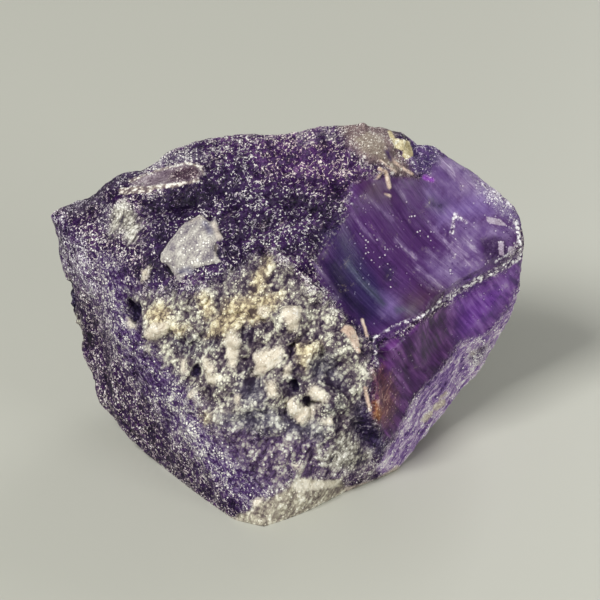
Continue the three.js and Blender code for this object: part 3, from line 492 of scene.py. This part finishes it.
def on_stone(stone, pixel):
    """The place on the stone, in metres, that the front frame shows at a pixel."""
    across, down = pixel
    right, up = upright_of(BACKWARD)
    sideways = right * (across - PICTURE / 2) + up * (PICTURE / 2 - down)
    way = sideways * PICTURE_WIDTH / PICTURE - BACKWARD * DISTANCE
    return stone.ray_cast(EYE, way.normalized())[1]


def lean_of(stone, ends):
    """The turn that brings the X axis along a grain, from the two places that it runs between."""
    start, end = (on_stone(stone, pixel) for pixel in ends)
    return (end - start).to_track_quat("X", "Z").to_euler()


def in_frame(points, stone, view):
    """Where a view's frame shows each point, in millimetres, and how far the stone hides it."""
    backward = backward_of(view)
    right, up = upright_of(backward)
    eye = LOOKS_AT + backward * DISTANCE
    offset = points - np.array(LOOKS_AT)
    nearer = DISTANCE / (DISTANCE - offset @ np.array(backward))
    half = PICTURE_WIDTH / 2
    across = half + offset @ np.array(right) * nearer
    down = half - offset @ np.array(up) * nearer
    hidden = np.zeros(len(points))
    for number, point in enumerate(points):
        ray = Vector(point) - eye
        hit, place, _, _ = stone.ray_cast(eye, ray.normalized())
        if hit:
            hidden[number] = max(0, ray.length - (place - eye).length)
    return np.stack([across, down], axis=1) / MM, hidden / MM


def inside_area(spots, corners):
    """How far each spot in the frame lies inside an outline."""
    nearest = np.full(len(spots), np.inf)
    odd = np.zeros(len(spots), bool)
    for start, end in zip(corners, np.roll(corners, -1, axis=0)):
        nearest = np.minimum(nearest, -inside_stroke(spots, start, end, 0))
        crosses = (start[1] > spots[:, 1]) != (end[1] > spots[:, 1])
        slope = (end[0] - start[0]) / (end[1] - start[1]) if end[1] != start[1] else 0
        odd ^= crosses & (spots[:, 0] < start[0] + slope * (spots[:, 1] - start[1]))
    return np.where(odd, nearest, -nearest)


def inside_stroke(spots, start, end, half_width):
    """How far each spot in the frame lies inside a stroke."""
    along = end - start
    share = np.clip((spots - start) @ along / max(along @ along, 1e-9), 0, 1)
    return half_width - np.linalg.norm(spots - start - share[:, None] * along, axis=1)


def lay_finish(stone, frames, finish):
    """Marks how far each point is inside a finish: 0.5 on its edge, 1 a reach inside, 0 a reach outside."""
    deepest = np.full(len(stone.data.vertices), -np.inf)
    for view, (spots, hidden) in frames.items():
        depth = np.full(len(spots), -np.inf)
        for corners in finish.get(view, []):
            depth = np.maximum(depth, inside_area(spots, np.array(corners) * MM_PER_PIXEL))
        for start, end, half_width in finish.get(view + "_strokes", []):
            start, end = np.array(start) * MM_PER_PIXEL, np.array(end) * MM_PER_PIXEL
            depth = np.maximum(depth, inside_stroke(spots, start, end, half_width))
        deepest = np.maximum(deepest, np.minimum(depth, WRAPS - hidden))
    values = np.clip(0.5 + 0.5 * deepest / finish["reach"], 0, 1)
    mark(stone, finish["name"], values)
    return values


def firm(values, edge=0.5, width=0.15):
    """1 well inside a finish, 0 well outside."""
    return np.clip((values - edge) / width + 0.5, 0, 1)


def grouped(stone, name, weights):
    """Adds a vertex group with these weights, for a modifier to work by."""
    group = stone.vertex_groups.new(name=name)
    for step in range(1, WEIGHT_STEPS + 1):
        chosen = np.nonzero(np.round(weights * WEIGHT_STEPS) == step)[0]
        if len(chosen):
            group.add(chosen.tolist(), step / WEIGHT_STEPS, "REPLACE")


def raise_grain(stone, name, kind, size, height, weights, level=0.5, along=None, **settings):
    """Raises a grain of this size and height, in metres, on the points that the weights name."""
    grouped(stone, name, weights)
    modifier = stone.modifiers.new(name, "DISPLACE")
    modifier.strength = height
    modifier.mid_level = level
    modifier.vertex_group = name
    modifier.texture = bpy.data.textures.new(name, kind)
    modifier.texture.noise_scale = size
    modifier.texture_coords = "OBJECT" if along else "LOCAL"
    modifier.texture_coords_object = along
    for setting, value in settings.items():
        setattr(modifier.texture, setting, value)


def refine(stone):
    """Cuts the faces finer and rounds them, and keeps the sharp folds as creases."""
    active(stone)
    bpy.ops.object.mode_set(mode="EDIT")
    bpy.ops.mesh.select_all(action="SELECT")
    bpy.ops.mesh.remove_doubles(threshold=MERGED)
    bpy.ops.mesh.select_all(action="DESELECT")
    bpy.ops.mesh.select_mode(type="EDGE")
    bpy.ops.mesh.edges_select_sharp(sharpness=SHARP_FOLD)
    bpy.ops.transform.edge_crease(value=CREASE)
    bpy.ops.object.mode_set(mode="OBJECT")
    rounding = stone.modifiers.new("refine", "SUBSURF")
    rounding.levels = rounding.render_levels = REFINED
    apply_modifiers(stone)


def mark_relief_shade(stone):
    """Marks how far each point stands out of the ground round it.

    The material paints light onto the crests from it and shade into the pits. It is 0.5 on the ground.
    """
    ground = copy_of(stone)
    smoothing = ground.modifiers.new("smooth", "SMOOTH")
    smoothing.factor = 0.5
    smoothing.iterations = GROUND_SMOOTHING
    apply_modifiers(ground)
    above_ground = point_values(stone, "co") - point_values(ground, "co")
    proud = (above_ground * point_values(stone, "normal")).sum(axis=1)
    bpy.data.objects.remove(ground)
    mark(stone, "relief_shade", np.clip(0.5 + proud / RELIEF, 0, 1))


# The stone.

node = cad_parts["amethyst"]
stone = copy_of(node)
stone.name = "rough_amethyst"
refine(stone)

frames = {view: in_frame(point_values(stone, "co"), node, view) for view in VIEWS}
laid = {finish["name"]: lay_finish(stone, frames, finish) for finish in FINISHES[1:]}
crust_lean = lean_of(node, CRUST_LEANS)
bevel_run = lean_of(node, BEVEL_RUNS)
strip_run = lean_of(node, STRIP_RUNS)

# The coarse lumps of the crust are read in a frame that is turned and stretched along its lean.
bpy.ops.object.empty_add(rotation=crust_lean)
leaning_frame = bpy.context.object
leaning_frame.scale = CRUST_STRETCH
bpy.context.view_layer.update()

# Glass is left smooth. The hackle of the frost is lower on the crust, and nearly gone on the pale
# chip, the taupe side of the knob, the ledge and the lip of the foot.
above_foot = np.clip((point_values(stone, "co")[:, 2] - FLAT_FOOT) / FOOT_RISE, 0, 1)
glassy = firm(np.maximum(laid["shell"], laid["face"]))
crusty = firm(laid["crust"], width=0.3) * (1 - glassy)
smooth = np.max([firm(laid[name]) for name in ("chip", "taupe", "ledge", "lip")], axis=0)
frosted = (1 - glassy) * (1 - 0.6 * crusty) * (1 - 0.8 * smooth)

# Each grain: its texture, its size and height in millimetres, where it is raised, and its settings.
GRAINS = [
    ("crust_lumps", "CLOUDS", 1.0, 0.7, crusty, {"along": leaning_frame, "noise_depth": 2}),
    ("crust_crumbs", "CLOUDS", 0.45, 0.5, crusty, {"noise_depth": 2}),
    ("frost_hackle", "CLOUDS", 0.7, 0.35, frosted, {"noise_depth": 3}),
    ("bead_row", "VORONOI", 0.45, -0.25, firm(laid["beads"]), {}),
    ("blob_lumps", "CLOUDS", 0.8, 0.45, firm(laid["blobs"], width=0.4), {"level": 0.1, "noise_depth": 1}),
    ("cream_lumps", "CLOUDS", 0.8, 0.35, firm(laid["cream"]), {"level": 0.2, "noise_depth": 1}),
    ("dark_pits", "CLOUDS", 1.2, -0.7, firm(laid["pits"], width=0.5), {"level": 0}),
    ("chip_step", "CLOUDS", 4, 0.45, firm(laid["chip"], edge=0.55, width=0.3), {"level": 0}),
    ("tongue_step", "CLOUDS", 4, 0.25, firm(laid["tongue"], width=0.5), {"level": 0}),
]
for name, kind, size, height, weights, settings in GRAINS:
    raise_grain(stone, name, kind, size * MM, height * MM, weights * above_foot, **settings)
apply_modifiers(stone)
bpy.data.objects.remove(leaning_frame)
bpy.ops.object.shade_smooth()
mark_relief_shade(stone)

# The material.

MATH = "ShaderNodeMath"
VECTOR_MATH = "ShaderNodeVectorMath"
NOISE = "ShaderNodeTexNoise"
RANGE = "ShaderNodeMapRange"
MIX = "ShaderNodeMix"
ATTRIBUTE = "ShaderNodeAttribute"


def add(tree, kind, inputs=None, **settings):
    """Adds a node with its settings. An input takes a value, or another node's output."""
    made = tree.nodes.new(kind)
    for name, value in settings.items():
        setattr(made, name, value)
    for socket, value in (inputs or {}).items():
        if isinstance(value, bpy.types.NodeSocket):
            tree.links.new(value, made.inputs[socket])
        else:
            made.inputs[socket].default_value = value
    return made


def added_up(tree, start, *terms):
    """Adds patterns to a start, each times its share. A share may be a pattern too."""
    total = start
    for pattern, share in terms:
        total = add(tree, MATH, {0: pattern, 1: share, 2: total}, operation="MULTIPLY_ADD").outputs[0]
    return total


def off_middle(tree, pattern):
    """How far a noise is from its middle. It is 0 along the lines where the noise crosses it."""
    apart = add(tree, MATH, {0: pattern, 1: 0.5}, operation="SUBTRACT").outputs[0]
    return add(tree, MATH, {0: apart}, operation="ABSOLUTE").outputs[0]


def ringed_glint(tree, distance, bright, dark):
    """A painted highlight with painted shade round it: a bright core with a dark surround. Each fades in
    between an outer and an inner distance.
    """
    core, surround = (
        add(tree, RANGE, {"Value": distance, "From Min": outer, "From Max": inner}).outputs[0]
        for outer, inner in (bright, dark))
    return added_up(tree, core, (surround, -0.3))


def kept_where(tree, marks, dense, least, fade):
    """Marks, kept only where a value is past its least, and faded in just above that."""
    kept = add(tree, RANGE, {"Value": dense, "From Min": least, "From Max": least + fade}).outputs[0]
    return added_up(tree, 0.0, (marks, kept))


def cells(tree, place, grain, size, pushed):
    """Cells of this size, pushed about by a grain so that they aren't even."""
    strayed = add(tree, VECTOR_MATH, {0: grain.outputs["Color"], 1: (pushed,) * 3, 2: place},
                  operation="MULTIPLY_ADD").outputs[0]
    return add(tree, "ShaderNodeTexVoronoi", {"Vector": strayed, "Scale": 1 / size})


def grain_along(tree, place, turn, size, longer, detail):
    """A grain of this size that is longer along the X axis once it is turned."""
    turned = add(tree, "ShaderNodeMapping", {"Vector": place, "Rotation": turn, "Scale": (longer, 1, 1)},
                 vector_type="TEXTURE").outputs[0]
    return add(tree, NOISE, {"Vector": turned, "Scale": 1 / size, "Detail": detail, "Roughness": 0.65,
                             "Distortion": 0.3}).outputs["Fac"]


def ripples_of(tree, place):
    """The fine and the coarse ripples of the glassy breaks, which are arcs round the blow."""
    from_blow = add(tree, VECTOR_MATH, {0: place, 1: BLOW}, operation="SUBTRACT").outputs[0]
    far = add(tree, VECTOR_MATH, {0: from_blow}, operation="LENGTH").outputs["Value"]
    way = add(tree, VECTOR_MATH, {0: from_blow}, operation="NORMALIZE").outputs[0]
    ripples = []
    for along, apart, detail in RIPPLES:
        scale = BLOW.length / MM / along
        outwards = added_up(tree, 0.0, (far, 1 / (apart * scale * MM)))
        noise = add(tree, NOISE, {"Vector": way, "W": outwards, "Scale": scale, "Detail": detail,
                                  "Roughness": 0.7, "Distortion": 0.3}, noise_dimensions="4D")
        ripples.append(noise.outputs["Fac"])
    return ripples


def patterns_of(tree):
    """The patterns of the broken surfaces, each about 0.4 on its ground, 0 in pits and 1 on sparks.

    The relief paints shade into the pits and light onto the crests, and the sparks carry painted glints.
    """
    place = add(tree, "ShaderNodeTexCoord").outputs["Object"]
    relief_shade = add(tree, ATTRIBUTE, attribute_name="relief_shade").outputs["Fac"]
    cloud = add(tree, NOISE, {"Vector": place, "Scale": 1 / CLOUD, "Detail": 3.0}).outputs["Fac"]
    mottle = add(tree, NOISE, {"Vector": place, "Scale": 1 / MOTTLE, "Detail": 3.0}).outputs["Fac"]
    grain = add(tree, NOISE, {"Vector": place, "Scale": 1 / GRAIN, "Detail": 2.0, "Roughness": 0.6})
    fine = grain.outputs["Fac"]
    # Tone that wanders at random, with painted light on the crests and painted shade in the pits from the
    # relief.
    drift_and_relief_shade = added_up(tree, -0.95, (cloud, 0.6), (mottle, 0.6), (relief_shade, 0.7))

    # Each crystal point has its own brightness and faces its own way.
    points = cells(tree, place, grain, size=POINT, pushed=0.1 * MM)
    own = add(tree, "ShaderNodeSeparateColor", {"Color": points.outputs["Color"]})
    dense = added_up(tree, own.outputs["Red"], (drift_and_relief_shade, 1.2))
    # A glint is a painted highlight: a bright dot with painted shade round it, on about one point in
    # six of a frosted break, or one in thirty of a glassy one.
    dot = ringed_glint(tree, points.outputs["Distance"], bright=(0.48, 0.28), dark=(0.8, 0.5))
    glint, rare_glint = (kept_where(tree, dot, dense, least, fade=0.03) for least in (0.83, 0.965))
    # A fleck is a short bent scratch that catches light, painted as a pale glint with painted shade
    # beside it: a stretch of the line where a noise crosses its middle.
    flecks = []
    for size, least in FLECKS:
        thread = add(tree, NOISE, {"Vector": place, "Scale": 1 / (size * MM), "Detail": 1.0,
                                   "Distortion": 1.0}).outputs["Fac"]
        scratch = ringed_glint(tree, off_middle(tree, thread), bright=(0.075, 0.03), dark=(0.2, 0.1))
        flecks.append(kept_where(tree, scratch, dense, least, fade=0.08))
    short_fleck, long_fleck = flecks

    # A feather is a thin line of the coarse ripples.
    ripple, swell = ripples_of(tree, place)
    line = add(tree, RANGE, {"Value": off_middle(tree, swell), "From Min": 0.05, "From Max": 0.012})
    feather = added_up(tree, 0.0, (line.outputs[0], mottle))

    leaning = grain_along(tree, place, crust_lean, size=0.7 * MM, longer=2.2, detail=5.0)
    fibre = grain_along(tree, place, crust_lean, size=0.26 * MM, longer=2.4, detail=2.0)
    combed = grain_along(tree, place, bevel_run, size=0.26 * MM, longer=2.6, detail=3.0)
    ribbed = grain_along(tree, place, strip_run, size=0.35 * MM, longer=4.0, detail=3.0)
    nodules = cells(tree, place, grain, size=NODULE, pushed=0.35 * MM).outputs["Distance"]
    bead = add(tree, RANGE, {"Value": nodules, "From Min": 0.6, "From Max": 0.3}).outputs[0]

    patterns = {
        "sparks": added_up(tree, -0.02, (drift_and_relief_shade, 1.0), (fine, 0.7), (short_fleck, 0.6), (glint, 0.85)),
        "flecks": added_up(tree, -0.04, (drift_and_relief_shade, 0.9), (fine, 0.7), (long_fleck, 0.7), (glint, 0.6)),
        "crumbs": added_up(tree, -0.91, (drift_and_relief_shade, 0.9), (leaning, 1.6), (fibre, 0.6), (fine, 0.3),
                           (bead, 0.28), (glint, 0.5)),
        "mottled": added_up(tree, -0.42, (mottle, 0.5), (leaning, 0.6), (fibre, 0.3), (fine, 0.5),
                            (glint, 0.4)),
        "combed": added_up(tree, -0.55, (drift_and_relief_shade, 0.9), (combed, 1.3), (fine, 0.7), (short_fleck, 0.4),
                           (glint, 0.8)),
        "ribbed": added_up(tree, -0.49, (drift_and_relief_shade, 0.9), (ribbed, 1.4), (fine, 0.6), (glint, 0.8)),
        "streaks": added_up(tree, -0.05, (ripple, 0.9), (mottle, 0.2), (rare_glint, 0.9)),
        "clouds": added_up(tree, -0.5, (ripple, 0.5), (mottle, 0.9), (cloud, 0.5), (rare_glint, 0.9)),
        "dusted": added_up(tree, -0.08, (ripple, 0.9), (mottle, 0.2), (glint, 0.6)),
        "feathers": added_up(tree, -0.1, (ripple, 0.8), (mottle, 0.3), (feather, 0.5), (rare_glint, 0.9)),
        "veils": added_up(tree, -0.65, (ripple, 0.8), (swell, 1.0), (mottle, 0.5), (rare_glint, 0.9)),
        "beads": added_up(tree, 0.0, (drift_and_relief_shade, 0.4), (own.outputs["Green"], 0.4), (bead, 0.7)),
    }
    tear = added_up(tree, leaning, (fine, 0.4))
    facing = add(tree, VECTOR_MATH, {0: points.outputs["Color"], 1: (-0.5,) * 3},
                 operation="ADD").outputs[0]
    return patterns, {"tear": tear, "ripple": ripple, "lumps": leaning, "facing": facing}


def shaded(tree, pattern, shades):
    """A pattern in the shades of a finish."""
    ramp = add(tree, "ShaderNodeValToRGB", {"Fac": pattern})
    stops = ramp.color_ramp.elements
    while len(stops) < len(STOPS):
        stops.new(0.5)
    for stop, position, shade in zip(stops, STOPS, shades.split()):
        stop.position = position
        stop.color = linear(shade)
    return ramp.outputs["Color"]


def where_it_shows(tree, finish, tear):
    """1 where a finish lies over those before it, 0 past its torn and faded edge."""
    inside = add(tree, ATTRIBUTE, attribute_name=finish["name"]).outputs["Fac"]
    torn = added_up(tree, inside, (tear, finish["ragged"]))
    edge = 0.5 + TEAR_MIDDLE * finish["ragged"]
    half_fade = finish["soft"] / 2
    return add(tree, RANGE, {"Value": torn, "From Min": edge - half_fade, "From Max": edge + half_fade},
               interpolation_type="SMOOTHSTEP").outputs[0]


def outside(tree, names):
    """1 outside all of these finishes, 0 inside any of them."""
    deepest = 0
    for name in names:
        inside = add(tree, ATTRIBUTE, attribute_name=name).outputs["Fac"]
        deepest = add(tree, MATH, {0: inside, 1: deepest}, operation="MAXIMUM").outputs[0]
    return add(tree, RANGE, {"Value": deepest, "From Min": 0.6, "From Max": 0.4}).outputs[0]


def amethyst():
    """Amethyst, broken and left raw.

    It is clear purple quartz under a frosted and crusted skin, so it looks dark with pale sparks, and
    only its glassy breaks take light in. The sparks are pale grains and painted glints both, and the
    colour also carries painted shade, a painted reflection, painted sheen and a painted glow.
    """
    material = bpy.data.materials.new("broken amethyst")
    material.use_nodes = True
    tree = material.node_tree
    tree.nodes.clear()
    patterns, other = patterns_of(tree)
    ground = FINISHES[0]
    colour = shaded(tree, patterns[ground["pattern"]], ground["shades"])
    roughness, clearness = ground["rough"], ground["clear"]
    for finish in FINISHES[1:]:
        mask = where_it_shows(tree, finish, other["tear"])
        shades = shaded(tree, patterns[finish["pattern"]], finish["shades"])
        colour = add(tree, MIX, {0: mask, 6: colour, 7: shades}, data_type="RGBA").outputs[2]
        roughness = add(tree, MIX, {0: mask, 2: roughness, 3: finish["rough"]}).outputs[0]
        clearness = add(tree, MIX, {0: mask, 2: clearness, 3: finish["clear"]}).outputs[0]

    # Glass has its ripples alone. Frost has its lumps and its crystal points, each turned its own
    # way, and on the crust, the chip and the knob the points are turned less.
    frosted = outside(tree, ("shell", "face"))
    turned = added_up(tree, 0.25, (outside(tree, ("crust", "chip", "taupe")), 0.55))
    rippled = add(tree, "ShaderNodeBump", {
        "Height": other["ripple"], "Distance": 0.2 * MM, "Strength": 0.3})
    lumpy = add(tree, "ShaderNodeBump", {
        "Height": other["lumps"], "Distance": 0.4 * MM, "Strength": 0.7})
    tilted = add(tree, VECTOR_MATH, {0: other["facing"], 1: turned, 2: lumpy.outputs[0]},
                 operation="MULTIPLY_ADD")
    normal = add(tree, MIX, {0: frosted, 4: rippled.outputs[0], 5: tilted.outputs[0]},
                 data_type="VECTOR").outputs[1]
    normal = add(tree, VECTOR_MATH, {0: normal}, operation="NORMALIZE").outputs[0]
    skin = add(tree, "ShaderNodeBsdfPrincipled", {
        "Base Color": colour, "Roughness": roughness, "Transmission Weight": clearness, "IOR": 1.544,
        "Specular IOR Level": 0.12, "Normal": normal})
    depth = add(tree, "ShaderNodeVolumeAbsorption", {"Color": linear("a05cd8"), "Density": 120.0})
    add(tree, "ShaderNodeOutputMaterial", {"Surface": skin.outputs[0], "Volume": depth.outputs[0]})
    return material


stone.data.materials.clear()
stone.data.materials.append(amethyst())
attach(stone, "root")
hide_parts("amethyst")

# The floor is pale satin card. It shows the stone's soft shadow, and shines at a low angle.

deselect()
bpy.ops.mesh.primitive_plane_add(size=3)
floor = bpy.context.object
floor.name = "floor"
card = bpy.data.materials.new("pale satin card")
card.use_nodes = True
card.node_tree.nodes.clear()
sheet = add(card.node_tree, "ShaderNodeBsdfPrincipled", {
    "Base Color": linear("bebeb3"), "Roughness": 0.35})
add(card.node_tree, "ShaderNodeOutputMaterial", {"Surface": sheet.outputs[0]})
floor.data.materials.append(card)

# The light. Each lamp: its name, its place and size in metres, and its power in watts.
LAMPS = [
    ("key", (-0.3, -0.28, 0.5), 0.22, 3.95),
    ("side", (0.46, -0.34, 0.14), 0.25, 1.4),
    ("back", (0.25, 0.45, 0.25), 0.3, 1.2),
]
for name, place, size, power in LAMPS:
    lamp = bpy.data.lights.new(name, "AREA")
    lamp.shape = "SQUARE"
    lamp.size = size
    lamp.energy = power
    holder = bpy.data.objects.new(name, lamp)
    holder.location = place
    holder.rotation_euler = (LOOKS_AT - Vector(place)).to_track_quat("-Z", "Y").to_euler()
    bpy.context.collection.objects.link(holder)

world = bpy.data.worlds.new("studio")
world.use_nodes = True
studio = world.node_tree.nodes["Background"].inputs
studio["Color"].default_value = linear("d8dad4")
studio["Strength"].default_value = 0.22
bpy.context.scene.world = world
bpy.context.scene.view_settings.view_transform = "Standard"

lens = bpy.data.cameras.new("camera")
lens.sensor_width = SENSOR
lens.lens = SENSOR * DISTANCE / PICTURE_WIDTH
lens.clip_start = 0.01
camera = bpy.data.objects.new("camera", lens)
camera.location = EYE
camera.rotation_euler = BACKWARD.to_track_quat("Z", "Y").to_euler()
bpy.context.collection.objects.link(camera)
bpy.context.scene.camera = camera
